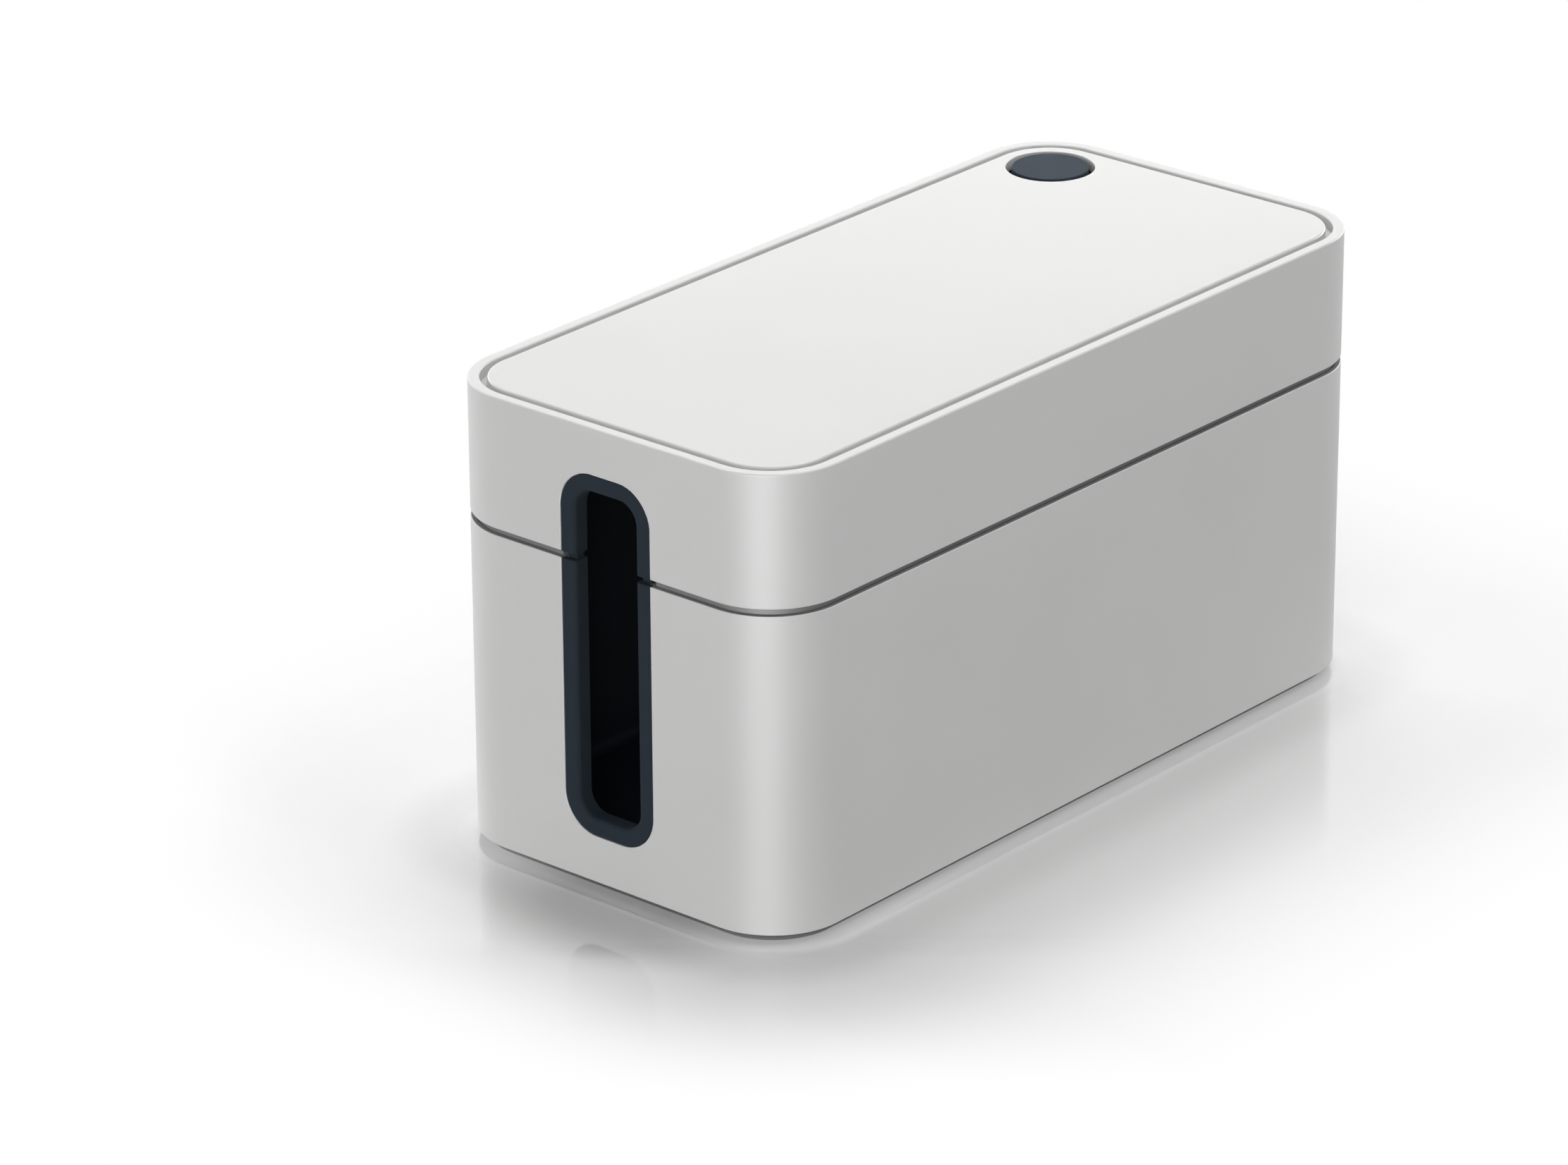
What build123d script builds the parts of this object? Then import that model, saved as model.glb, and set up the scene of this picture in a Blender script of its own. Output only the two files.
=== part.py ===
from build123d import *
import os

# Cable management box, in millimetres: a base tray, a lift-off lid and what they carry.
# X runs along the box and Z is up. The origin is on the surface that the box stands on,
# under the middle of the box. "Left" is the -X end and "front" is the -Y side.

# ---------------------------------------------------------------- driving dimensions

# Casing
length = 246.0
width = 116.0
height = 128.0
corner_radius = 21.0
wall = 3.1
floor_thickness = 2.6
floor_fillet = 3.0
casing_edge_radius = 0.25
rim_edge_radius = 0.5

# Seam between tray and lid: the tray's tongue stands inside the lid's lip
tray_height = 87.5
seam_gap = 1.9
ledge_width = 1.7
ledge_groove_width = 0.4
ledge_groove_depth = 0.6
ledge_groove_setback = 3.4
tongue_height = 8.0
tongue_slot_gap = 0.6
lip_clearance = 0.2
lid_seat_gap = 0.2

# Top of the lid
trench_width = 1.95
pad_thickness = 2.8
pad_edge_radius = 0.6
adhesive_thickness = 0.2
adhesive_margin = 1.5
adhesive_hole_margin = 0.75
deck_thickness = 2.2
deck_fillet = 2.0

# End slots and the rubber that lines them
slot_width = 30.0
slot_sill = 12.9
slot_head = 12.75
slot_corner_radius = 10.6
slot_rib_width = 1.2
slot_edge_radius = 0.2
grommet_band = 4.8
grommet_depth = 5.0
grommet_fit = 0.15
grommet_flange_overlap = 2.0
grommet_mouth_radius = 1.2
grommet_edge_radius = 0.35
grommet_tongue_setback = 1.0
grommet_tongue_width = 2.8
grommet_tongue_clearance = 0.4
grommet_skin_clearance = 0.3

# Round outlet, its cap and the bridge that carries the cap
outlet_radius = 12.3
outlet_land = 3.35
collar_drop = 0.4
sleeve_thickness = 1.4
outlet_fit = 0.15
outlet_edge_radius = 0.25
cap_gap = 1.7
cap_thickness = 3.2
cap_edge_radius = 0.3
cap_shoulder_radius = 4.0
cap_shoulder_length = 3.0
cap_seat_gap = 0.2
stem_radius = 2.5
stem_running_clearance = 0.05
stem_chamfer = 0.6
hub_wall = 2.1
hub_length = 8.0
spoke_count = 3
spoke_width = 2.0
spoke_height = 3.0

# Screws that hold the bridge to the bosses under the deck
screw_count = 3
screw_first_angle = 165.0
screw_span = 120.0
screw_shank_radius = 1.25
screw_head_radius = 2.6
screw_head_height = 1.6
screw_head_edge_radius = 0.5
screw_fit = 0.05
screw_tip_room = 0.5
screw_recess_length = 2.8
screw_recess_width = 0.6
screw_recess_depth = 0.8
boss_radius = 3.2
boss_height = 4.0
ear_thickness = 2.0
flange_wall_clearance = 1.1
ear_flange_gap = 0.5

# Rubber feet
foot_standoff = 2.6
foot_radius = 9.0
foot_inset = 20.0
foot_pocket_depth = 0.8
foot_pocket_fit = 0.2
foot_edge_radius = 0.7
foot_dish_radius = 5.5
foot_dish_depth = 0.4

# How near a face or an edge must lie to a stated place to be picked there
pick_tolerance = 0.001

# ---------------------------------------------------------------- derived places

# Heights, from the surface up
tray_bottom = foot_standoff
floor_top = tray_bottom + floor_thickness
ledge_z = tray_bottom + tray_height
tongue_top = ledge_z + tongue_height
lid_bottom = ledge_z + seam_gap
shoulder_z = tongue_top + lid_seat_gap
pad_bottom = height - pad_thickness
deck_top = pad_bottom - adhesive_thickness
deck_bottom = deck_top - deck_thickness

# Lid wall outside the tray's tongue
lip_thickness = ledge_width - lip_clearance

# End slots
slot_bottom = tray_bottom + slot_sill
slot_height = height - slot_head - slot_bottom
slot_middle = slot_bottom + slot_height / 2
slot_cut_depth = 2 * wall
flange_depth = ledge_width - grommet_fit
neck_end = wall + grommet_fit
tongue_depth = grommet_depth - grommet_tongue_clearance - lip_thickness - grommet_tongue_clearance
tongue_mid_x = length / 2 - lip_thickness - grommet_tongue_clearance - tongue_depth / 2
tongue_mid_y = slot_width / 2 - grommet_tongue_setback - grommet_tongue_width / 2
skin_y = slot_width / 2 - grommet_tongue_setback - grommet_tongue_width - grommet_skin_clearance
pocket_width = slot_width + 4 * grommet_flange_overlap
pocket_top = shoulder_z + grommet_fit

# Round outlet: in line with the corner, as near to it as its land allows
outlet_inset = max(corner_radius, wall + trench_width + outlet_land + outlet_radius)
outlet_x = length / 2 - outlet_inset
outlet_y = width / 2 - outlet_inset
collar_bottom = pad_bottom - collar_drop
sleeve_radius = outlet_radius + sleeve_thickness
sleeve_top = collar_bottom - cap_seat_gap / 2
deck_hole_radius = sleeve_radius + outlet_fit
cap_radius = outlet_radius - cap_gap
cap_underside = height - cap_thickness
cap_shoulder_bottom = cap_underside - cap_shoulder_length
hub_top = cap_shoulder_bottom - cap_seat_gap
hub_bottom = hub_top - hub_length
hub_bore_radius = stem_radius + stem_running_clearance
hub_radius = hub_bore_radius + hub_wall
spoke_length = sleeve_radius - hub_bore_radius - hub_wall / 2 - sleeve_thickness / 2
spoke_mid_radius = hub_bore_radius + hub_wall / 2 + spoke_length / 2

# Screws, and the bosses that take them, which run half-way into the deck
ear_top = deck_bottom - boss_height
ear_bottom = ear_top - ear_thickness
flange_radius = outlet_radius + outlet_land + trench_width - flange_wall_clearance
screw_circle = flange_radius + ear_flange_gap + boss_radius
screw_hole_radius = screw_shank_radius + screw_fit
boss_root = deck_thickness / 2

# Feet
foot_x = length / 2 - foot_inset
foot_y = width / 2 - foot_inset
foot_top = tray_bottom + foot_pocket_depth

left_end = Plane(origin=(-length / 2, 0, slot_middle), x_dir=(0, 1, 0), z_dir=(1, 0, 0))
right_end = Plane(origin=(length / 2, 0, slot_middle), x_dir=(0, 1, 0), z_dir=(-1, 0, 0))


def casing_outline(inset, mode=Mode.ADD):
    """The casing's plan outline, moved inwards by inset."""
    RectangleRounded(length - 2 * inset, width - 2 * inset, corner_radius - inset, mode=mode)


def slot_outline(inset):
    """The end slot's outline, moved inwards by inset."""
    RectangleRounded(slot_width - 2 * inset, slot_height - 2 * inset, slot_corner_radius - inset)


def outlet_plane(z):
    """A level plane at height z with its origin on the outlet's axis."""
    return Plane(origin=(outlet_x, outlet_y, z))


def screw_locations(radius=screw_circle):
    """Places at a radius from the outlet's axis, in line with the screws, away from the corner."""
    return PolarLocations(
        radius, screw_count, start_angle=screw_first_angle, angular_range=screw_span, endpoint=True
    )


def level_face(part, z):
    """The level face of a part at height z."""
    return part.faces().filter_by_position(Axis.Z, z - pick_tolerance, z + pick_tolerance)


def slot_mouth_edges(part, above, below):
    """The edges of the slots on the end faces, between two heights."""
    return part.edges().filter_by(
        lambda edge: abs(abs(edge.center().X) - length / 2) < pick_tolerance
        and abs(edge.center().Y) < slot_width / 2 + pick_tolerance
        and above + pick_tolerance < edge.center().Z < below - pick_tolerance
    )


os.makedirs("parts", exist_ok=True)

# What the end slots take out of tray and lid alike: at each end a rebate for the rubber's
# outer flange, and the opening inside the rib that holds the rubber.
with BuildPart() as slot_cutter:
    for end in (left_end, right_end):
        with BuildSketch(end):
            slot_outline(0)
        extrude(amount=ledge_width)
        with BuildSketch(end):
            slot_outline(slot_rib_width)
        extrude(amount=slot_cut_depth)

# ---------------------------------------------------------------- base tray

with BuildPart() as base_tray:
    with BuildSketch(Plane.XY.offset(tray_bottom)):
        casing_outline(0)
    extrude(amount=tray_height)
    fillet(base_tray.faces().sort_by(Axis.Z)[0].edges(), casing_edge_radius)
    fillet(base_tray.faces().sort_by(Axis.Z)[-1].edges(), casing_edge_radius)
    with BuildSketch(Plane.XY.offset(ledge_z)):
        casing_outline(ledge_width)
    extrude(amount=tongue_height)
    with BuildSketch(Plane.XY.offset(floor_top)):
        casing_outline(wall)
    extrude(amount=tongue_top - floor_top, mode=Mode.SUBTRACT)
    fillet(level_face(base_tray, floor_top).edges(), floor_fillet)
    add(slot_cutter.part, mode=Mode.SUBTRACT)
    with BuildSketch(Plane.XY.offset(ledge_z)):
        Rectangle(length, slot_width + 2 * tongue_slot_gap)
    extrude(amount=tongue_height, mode=Mode.SUBTRACT)
    with BuildSketch(Plane.XY.offset(tray_bottom)):
        with GridLocations(2 * foot_x, 2 * foot_y, 2, 2):
            Circle(foot_radius + foot_pocket_fit)
    extrude(amount=foot_pocket_depth, mode=Mode.SUBTRACT)
    fillet(slot_mouth_edges(base_tray, tray_bottom, ledge_z), slot_edge_radius)
    with BuildSketch(Plane.XY.offset(ledge_z - ledge_groove_depth)):
        casing_outline(ledge_width - ledge_groove_width)
        casing_outline(ledge_width, Mode.SUBTRACT)
        Rectangle(length, slot_width + 2 * ledge_groove_setback, mode=Mode.SUBTRACT)
    extrude(amount=ledge_groove_depth, mode=Mode.SUBTRACT)
base_tray.part.label = "base_tray"
export_step(base_tray.part, "parts/base_tray.step")

# ---------------------------------------------------------------- lid shell

with BuildPart() as lid_shell:
    with BuildSketch(Plane.XY.offset(lid_bottom)):
        casing_outline(0)
    extrude(amount=height - lid_bottom)
    fillet(lid_shell.faces().sort_by(Axis.Z)[0].edges(), casing_edge_radius)
    with BuildSketch(Plane.XY.offset(deck_top)):
        casing_outline(wall)
    extrude(amount=height - deck_top, mode=Mode.SUBTRACT)
    fillet(lid_shell.faces().sort_by(Axis.Z)[-1].edges(), rim_edge_radius)
    with BuildSketch(Plane.XY.offset(lid_bottom)):
        casing_outline(wall)
    extrude(amount=deck_bottom - lid_bottom, mode=Mode.SUBTRACT)
    fillet(level_face(lid_shell, deck_bottom).edges(), deck_fillet)
    with BuildSketch(Plane.XY.offset(lid_bottom)):
        casing_outline(lip_thickness)
    extrude(amount=shoulder_z - lid_bottom, mode=Mode.SUBTRACT)
    with BuildSketch(outlet_plane(ear_top)):
        with screw_locations():
            Circle(boss_radius)
    extrude(amount=boss_height + boss_root)
    with BuildSketch(outlet_plane(ear_top)):
        with screw_locations():
            Circle(screw_hole_radius)
    extrude(amount=boss_height + screw_tip_room, mode=Mode.SUBTRACT)
    with BuildSketch(outlet_plane(deck_bottom)):
        Circle(deck_hole_radius)
    extrude(amount=deck_thickness, mode=Mode.SUBTRACT)
    add(slot_cutter.part, mode=Mode.SUBTRACT)
    fillet(slot_mouth_edges(lid_shell, lid_bottom, height), slot_edge_radius)
lid_shell.part.label = "lid_shell"
export_step(lid_shell.part, "parts/lid_shell.step")

# ---------------------------------------------------------------- pad and its adhesive

with BuildPart() as lid_pad:
    with BuildSketch(Plane.XY.offset(pad_bottom)):
        casing_outline(wall + trench_width)
    extrude(amount=pad_thickness)
    fillet(lid_pad.faces().sort_by(Axis.Z)[-1].edges(), pad_edge_radius)
    with BuildSketch(outlet_plane(collar_bottom)):
        Circle(sleeve_radius)
    extrude(amount=collar_drop)
    with BuildSketch(outlet_plane(collar_bottom)):
        Circle(outlet_radius)
    extrude(amount=height - collar_bottom, mode=Mode.SUBTRACT)
    outlet_rim = lid_pad.edges().filter_by(GeomType.CIRCLE).sort_by(Axis.Z)[-1]
    fillet(outlet_rim, outlet_edge_radius)
lid_pad.part.label = "lid_pad"
export_step(lid_pad.part, "parts/lid_pad.step")

with BuildPart() as pad_adhesive:
    with BuildSketch(Plane.XY.offset(deck_top)):
        casing_outline(wall + trench_width + adhesive_margin)
    extrude(amount=adhesive_thickness)
    with BuildSketch(outlet_plane(deck_top)):
        Circle(deck_hole_radius + adhesive_hole_margin)
    extrude(amount=adhesive_thickness, mode=Mode.SUBTRACT)
pad_adhesive.part.label = "pad_adhesive"
export_step(pad_adhesive.part, "parts/pad_adhesive.step")

# ---------------------------------------------------------------- slot grommets

# The whole rubber surround: an outer flange in the rebate, a neck inside the rib and an
# inner flange behind the wall, with a rounded mouth.
with BuildPart() as surround:
    with BuildSketch(left_end):
        slot_outline(grommet_fit)
    extrude(amount=flange_depth)
    with BuildSketch(left_end.offset(flange_depth)):
        slot_outline(slot_rib_width + grommet_fit)
    extrude(amount=neck_end - flange_depth)
    with BuildSketch(left_end.offset(neck_end)):
        slot_outline(-grommet_flange_overlap)
    extrude(amount=grommet_depth - neck_end)
    with BuildSketch(left_end):
        slot_outline(grommet_band)
    extrude(amount=grommet_depth, mode=Mode.SUBTRACT)
    front_face = surround.faces().sort_by(Axis.X)[0]
    fillet(front_face.inner_wires()[0].edges(), grommet_mouth_radius)
    front_face = surround.faces().sort_by(Axis.X)[0]
    fillet(front_face.outer_wire().edges(), grommet_edge_radius)
    back_face = surround.faces().sort_by(Axis.X)[-1]
    fillet(back_face.inner_wires()[0].edges(), grommet_edge_radius)

# The tray's part ends level with the ledge, and a tongue on each leg goes on up.
with BuildPart() as left_base_grommet:
    add(surround.part)
    split(bisect_by=Plane.XY.offset(ledge_z), keep=Keep.BOTTOM)
    top_front_edges = left_base_grommet.edges().filter_by(
        lambda edge: edge.center().X < grommet_edge_radius / 2 - length / 2
        and edge.center().Z > ledge_z - pick_tolerance
    )
    fillet(top_front_edges, grommet_edge_radius)
    with BuildSketch(Plane.XY.offset(ledge_z)):
        with Locations((-tongue_mid_x, tongue_mid_y), (-tongue_mid_x, -tongue_mid_y)):
            Rectangle(tongue_depth, grommet_tongue_width)
    extrude(amount=tongue_height - grommet_tongue_clearance)
left_base_grommet.part.label = "left_base_grommet"
export_step(left_base_grommet.part, "parts/left_base_grommet.step")

# The lid's part arches over, and its legs have a pocket that the tongues slide into.
with BuildPart() as left_lid_grommet:
    add(surround.part)
    split(bisect_by=Plane.XY.offset(lid_bottom), keep=Keep.TOP)
    with BuildSketch(Plane.XY.offset(lid_bottom)):
        with Locations((lip_thickness - length / 2, 0)):
            Rectangle(grommet_depth, pocket_width, align=(Align.MIN, Align.CENTER))
            Rectangle(grommet_depth, 2 * skin_y, align=(Align.MIN, Align.CENTER), mode=Mode.SUBTRACT)
    extrude(amount=pocket_top - lid_bottom, mode=Mode.SUBTRACT)
left_lid_grommet.part.label = "left_lid_grommet"
export_step(left_lid_grommet.part, "parts/left_lid_grommet.step")

with BuildPart() as right_base_grommet:
    mirror(left_base_grommet.part, about=Plane.YZ)
right_base_grommet.part.label = "right_base_grommet"
export_step(right_base_grommet.part, "parts/right_base_grommet.step")

with BuildPart() as right_lid_grommet:
    mirror(left_lid_grommet.part, about=Plane.YZ)
right_lid_grommet.part.label = "right_lid_grommet"
export_step(right_lid_grommet.part, "parts/right_lid_grommet.step")

# ---------------------------------------------------------------- outlet bridge and screws

with BuildPart() as outlet_bridge:
    with BuildSketch(outlet_plane(hub_bottom)):
        Circle(sleeve_radius)
    extrude(amount=sleeve_top - hub_bottom)
    with BuildSketch(outlet_plane(ear_bottom)):
        Circle(flange_radius)
        with screw_locations():
            Circle(boss_radius)
        with screw_locations(screw_circle / 2):
            Rectangle(screw_circle, 2 * boss_radius)
        with screw_locations():
            Circle(screw_hole_radius, mode=Mode.SUBTRACT)
    extrude(amount=ear_thickness)
    with BuildSketch(outlet_plane(hub_bottom)):
        Circle(outlet_radius)
    extrude(amount=sleeve_top - hub_bottom, mode=Mode.SUBTRACT)
    with BuildSketch(outlet_plane(hub_bottom)):
        with PolarLocations(spoke_mid_radius, spoke_count, start_angle=90):
            Rectangle(spoke_length, spoke_width)
    extrude(amount=spoke_height)
    with BuildSketch(outlet_plane(hub_bottom)):
        Circle(hub_radius)
        Circle(hub_bore_radius, mode=Mode.SUBTRACT)
    extrude(amount=hub_length)
outlet_bridge.part.label = "outlet_bridge"
export_step(outlet_bridge.part, "parts/outlet_bridge.step")

with BuildPart() as bridge_screws:
    with BuildSketch(outlet_plane(ear_bottom - screw_head_height)):
        with screw_locations():
            Circle(screw_head_radius)
    extrude(amount=screw_head_height)
    fillet(bridge_screws.faces().group_by(Axis.Z)[0].edges(), screw_head_edge_radius)
    with BuildSketch(outlet_plane(ear_bottom)):
        with screw_locations():
            Circle(screw_shank_radius)
    extrude(amount=ear_thickness + boss_height)
    with BuildSketch(outlet_plane(ear_bottom - screw_head_height)):
        with screw_locations():
            Rectangle(screw_recess_length, screw_recess_width)
            Rectangle(screw_recess_width, screw_recess_length)
    extrude(amount=screw_recess_depth, mode=Mode.SUBTRACT)
bridge_screws.part.label = "bridge_screws"
export_step(bridge_screws.part, "parts/bridge_screws.step")

# ---------------------------------------------------------------- outlet cap

with BuildPart() as outlet_cap:
    with BuildSketch(outlet_plane(cap_underside)):
        Circle(cap_radius)
    extrude(amount=cap_thickness)
    fillet(outlet_cap.faces().sort_by(Axis.Z)[-1].edges(), cap_edge_radius)
    with BuildSketch(outlet_plane(cap_shoulder_bottom)):
        Circle(cap_shoulder_radius)
    extrude(amount=cap_shoulder_length)
    with BuildSketch(outlet_plane(hub_bottom)):
        Circle(stem_radius)
    extrude(amount=cap_shoulder_bottom - hub_bottom)
    chamfer(outlet_cap.faces().sort_by(Axis.Z)[0].edges(), stem_chamfer)
outlet_cap.part.label = "outlet_cap"
export_step(outlet_cap.part, "parts/outlet_cap.step")

# ---------------------------------------------------------------- rubber feet

foot_places = {
    "foot_front_left": (-foot_x, -foot_y),
    "foot_front_right": (foot_x, -foot_y),
    "foot_rear_left": (-foot_x, foot_y),
    "foot_rear_right": (foot_x, foot_y),
}
for foot_name, (x, y) in foot_places.items():
    with BuildPart() as foot:
        with BuildSketch(Plane(origin=(x, y, 0))):
            Circle(foot_radius)
        extrude(amount=foot_top)
        fillet(foot.faces().sort_by(Axis.Z)[0].edges(), foot_edge_radius)
        with BuildSketch(Plane(origin=(x, y, 0))):
            Circle(foot_dish_radius)
        extrude(amount=foot_dish_depth, mode=Mode.SUBTRACT)
    foot.part.label = foot_name
    export_step(foot.part, "parts/" + foot_name + ".step")
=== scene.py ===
"""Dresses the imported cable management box, adds its small turned parts and lights it.

Everything is in metres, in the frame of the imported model: X runs along the box, Z is up and
the origin is on the surface that the box stands on, under the middle of the box.
"""

import logging
import math
from dataclasses import dataclass
from enum import Enum
from typing import Callable

import bmesh
import bpy
from mathutils import Matrix, Vector


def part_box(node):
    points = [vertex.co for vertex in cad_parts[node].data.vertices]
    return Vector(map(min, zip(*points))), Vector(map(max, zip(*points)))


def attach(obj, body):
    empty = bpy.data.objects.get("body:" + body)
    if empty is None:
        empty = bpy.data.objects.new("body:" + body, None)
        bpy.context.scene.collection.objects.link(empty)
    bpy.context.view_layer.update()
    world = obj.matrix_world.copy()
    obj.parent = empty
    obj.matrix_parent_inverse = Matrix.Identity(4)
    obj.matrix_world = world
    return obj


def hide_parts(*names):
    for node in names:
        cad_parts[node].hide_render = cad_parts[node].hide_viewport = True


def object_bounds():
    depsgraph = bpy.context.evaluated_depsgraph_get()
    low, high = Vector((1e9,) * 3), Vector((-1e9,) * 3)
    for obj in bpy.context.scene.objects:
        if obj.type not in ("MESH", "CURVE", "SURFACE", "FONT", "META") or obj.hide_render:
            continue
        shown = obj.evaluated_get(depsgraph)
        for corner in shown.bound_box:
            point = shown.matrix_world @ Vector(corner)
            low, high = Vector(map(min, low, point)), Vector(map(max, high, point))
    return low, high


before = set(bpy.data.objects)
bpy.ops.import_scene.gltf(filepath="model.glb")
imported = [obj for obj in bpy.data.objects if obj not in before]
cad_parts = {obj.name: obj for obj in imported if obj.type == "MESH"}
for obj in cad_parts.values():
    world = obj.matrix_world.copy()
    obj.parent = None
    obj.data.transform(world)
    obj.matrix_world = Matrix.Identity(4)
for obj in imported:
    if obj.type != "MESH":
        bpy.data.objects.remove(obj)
cad_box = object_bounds()

log = logging.getLogger("cable_box")

MM = 0.001
WHITE = (1.0, 1.0, 1.0, 1.0)
ROUNDING_STEPS = 6
CREASE_ANGLE = math.radians(32.0)
CORNER_RADIUS = 21 * MM
PICK_MARGIN = 0.05 * MM  # how near to a place a face's centre must lie to be picked there

Colour = tuple[float, float, float]
Point = tuple[float, float, float]
Profile = list[tuple[float, float]]
Socket = bpy.types.NodeSocket
Value = Socket | float
Material = bpy.types.Material
Piece = bpy.types.Object
Mesh = bmesh.types.BMesh


# ------------ surface textures


class Grain(Enum):
    """Textures that a mould or a tumbler leaves on a part: grain size and depth in metres."""

    SPARK_FINE = (0.30 * MM, 0.0022 * MM)
    SPARK_COARSE = (0.55 * MM, 0.0090 * MM)
    SOFT_TOUCH = (0.20 * MM, 0.0012 * MM)
    RUBBER_MATT = (0.35 * MM, 0.0070 * MM)
    TUMBLED = (0.25 * MM, 0.0015 * MM)

    @property
    def size(self) -> float:
        """The distance from one peak of the grain to the next."""
        return self.value[0]

    @property
    def depth(self) -> float:
        """The height of the grain's peaks."""
        return self.value[1]


class Graph:
    """The node tree of a material or of the world, with short ways to add and join its nodes.

    Attributes:
        NOISE_SPAN: the values between which nearly all of noise's clouds lie.
        GRAIN_DETAIL: how many finer layers lie on a mould's grain.
        GRAIN_ROUGHNESS: how strong those layers are.
        EDGE_TURN: how much the surface turns where the mask of an edge is full.
        EDGE_SAMPLES: how many rays look for an edge round each point.
        GAP_SHADE_SAMPLES: how many rays look for a gap round each point, where shade is painted.
    """

    NOISE_SPAN = (0.3, 0.7)
    GRAIN_DETAIL = 3.0
    GRAIN_ROUGHNESS = 0.6
    EDGE_TURN = 0.16
    EDGE_SAMPLES = 4
    GAP_SHADE_SAMPLES = 8

    def __init__(self, owner: Material | bpy.types.World) -> None:
        """Empties the node tree of a new material or world.

        Args:
            owner: the material or world.
        """
        owner.use_nodes = True
        self.owner = owner
        self.tree = owner.node_tree
        self.tree.nodes.clear()

    def add(self, kind: str, inputs: dict | None = None, **settings: object) -> bpy.types.Node:
        """Adds a node and fills in its sockets.

        Args:
            kind: the node's type without its ShaderNode prefix.
            inputs: socket name or number to a value, or to the socket that feeds it.
            **settings: the node's own properties.

        Returns:
            The new node.
        """
        node = self.tree.nodes.new("ShaderNode" + kind)
        for setting, value in settings.items():
            setattr(node, setting, value)
        for key, value in (inputs or {}).items():
            if isinstance(value, Socket):
                self.tree.links.new(value, node.inputs[key])
            else:
                node.inputs[key].default_value = value
        return node

    def position(self) -> Socket:
        """The point on the piece, which stays with the piece as it moves."""
        return self.add("TexCoord").outputs["Object"]

    def noise(self, size: float, detail: float, roughness: float = 0.5) -> Socket:
        """Soft random clouds.

        Args:
            size: the clouds' size.
            detail: how many finer layers lie on them.
            roughness: how strong the finer layers are.

        Returns:
            A value that mostly lies within NOISE_SPAN, with its middle at 0.5.
        """
        inputs = {"Vector": self.position(), "Scale": 1 / size, "Detail": detail, "Roughness": roughness}
        return self.add("TexNoise", inputs).outputs["Fac"]

    def remap(
        self, value: Socket, low: Value, high: Value, to_low: Value, to_high: Value, curve: str = "LINEAR"
    ) -> Socket:
        """Stretches a range of values onto another and clamps it there.

        Args:
            value: the socket to read.
            low: the value that becomes to_low.
            high: the value that becomes to_high.
            to_low: the result's one end.
            to_high: the result's other end.
            curve: the Map Range node's interpolation.

        Returns:
            The stretched value.
        """
        inputs = {"Value": value, "From Min": low, "From Max": high, "To Min": to_low, "To Max": to_high}
        return self.add("MapRange", inputs, interpolation_type=curve).outputs["Result"]

    def maths(self, operation: str, first: Value, second: Value) -> Socket:
        """Works out one sum.

        Args:
            operation: the Math node's operation.
            first: the first value or socket.
            second: the second value or socket.

        Returns:
            The result.
        """
        return self.add("Math", {0: first, 1: second}, operation=operation).outputs[0]

    def blend(self, share: Socket, first: Colour | Socket, second: Colour | Socket) -> Socket:
        """Goes from one colour to another.

        Args:
            share: 0 for the first colour, 1 for the second.
            first: the colour at 0.
            second: the colour at 1.

        Returns:
            The mixed colour.
        """
        first, second = (end if isinstance(end, Socket) else (*end, 1.0) for end in (first, second))
        return self.add("MixRGB", {"Fac": share, "Color1": first, "Color2": second}).outputs["Color"]

    def edges(self, radius: float) -> Socket:
        """Finds the piece's edges, where a finish paints a highlight and makes the surface smoother.

        Args:
            radius: how far from the edge the mask reaches.

        Returns:
            0 on the open faces and 1 on an edge.
        """
        rounded = self.add("Bevel", {"Radius": radius}, samples=self.EDGE_SAMPLES).outputs["Normal"]
        true = self.add("NewGeometry").outputs["Normal"]
        agreement = self.add("VectorMath", {0: rounded, 1: true}, operation="DOT_PRODUCT").outputs["Value"]
        return self.remap(agreement, 1.0, 1.0 - self.EDGE_TURN, 0.0, 1.0)

    def gap_shade_mask(self, reach: float, deep: float, shallow: float) -> Socket:
        """Finds narrow gaps and grooves, where a finish paints shade.

        Args:
            reach: how wide a gap may be and still count.
            deep: the share of open sky over a point at which the mask is full.
            shallow: the share from which it is empty.

        Returns:
            0 on the open faces and 1 deep in a gap.
        """
        # painted shade: occlusion picks out the gaps whose colour is darkened
        sky = self.add("AmbientOcclusion", {"Distance": reach}, samples=self.GAP_SHADE_SAMPLES).outputs["AO"]
        return self.remap(sky, deep, shallow, 1.0, 0.0)

    def grain(self, grain: Grain) -> Socket:
        """The normal of a surface with a mould's grain.

        Args:
            grain: the texture.

        Returns:
            The normal to give to the shader.
        """
        height = self.noise(grain.size, self.GRAIN_DETAIL, self.GRAIN_ROUGHNESS)
        inputs = {"Height": height, "Strength": 1.0, "Distance": grain.depth}
        return self.add("Bump", inputs).outputs["Normal"]

    def surface(self, inputs: dict) -> Material:
        """Ends the tree in a Principled shader.

        Args:
            inputs: the shader's sockets, as add takes them.

        Returns:
            The finished material.
        """
        shader = self.add("BsdfPrincipled", inputs)
        self.add("OutputMaterial", {"Surface": shader.outputs[0]})
        return self.owner


def shade(colour: Colour, factor: float) -> Colour:
    """A colour made lighter or darker by a factor."""
    return tuple(min(1.0, part * factor) for part in colour)


# ------------ finishes


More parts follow.
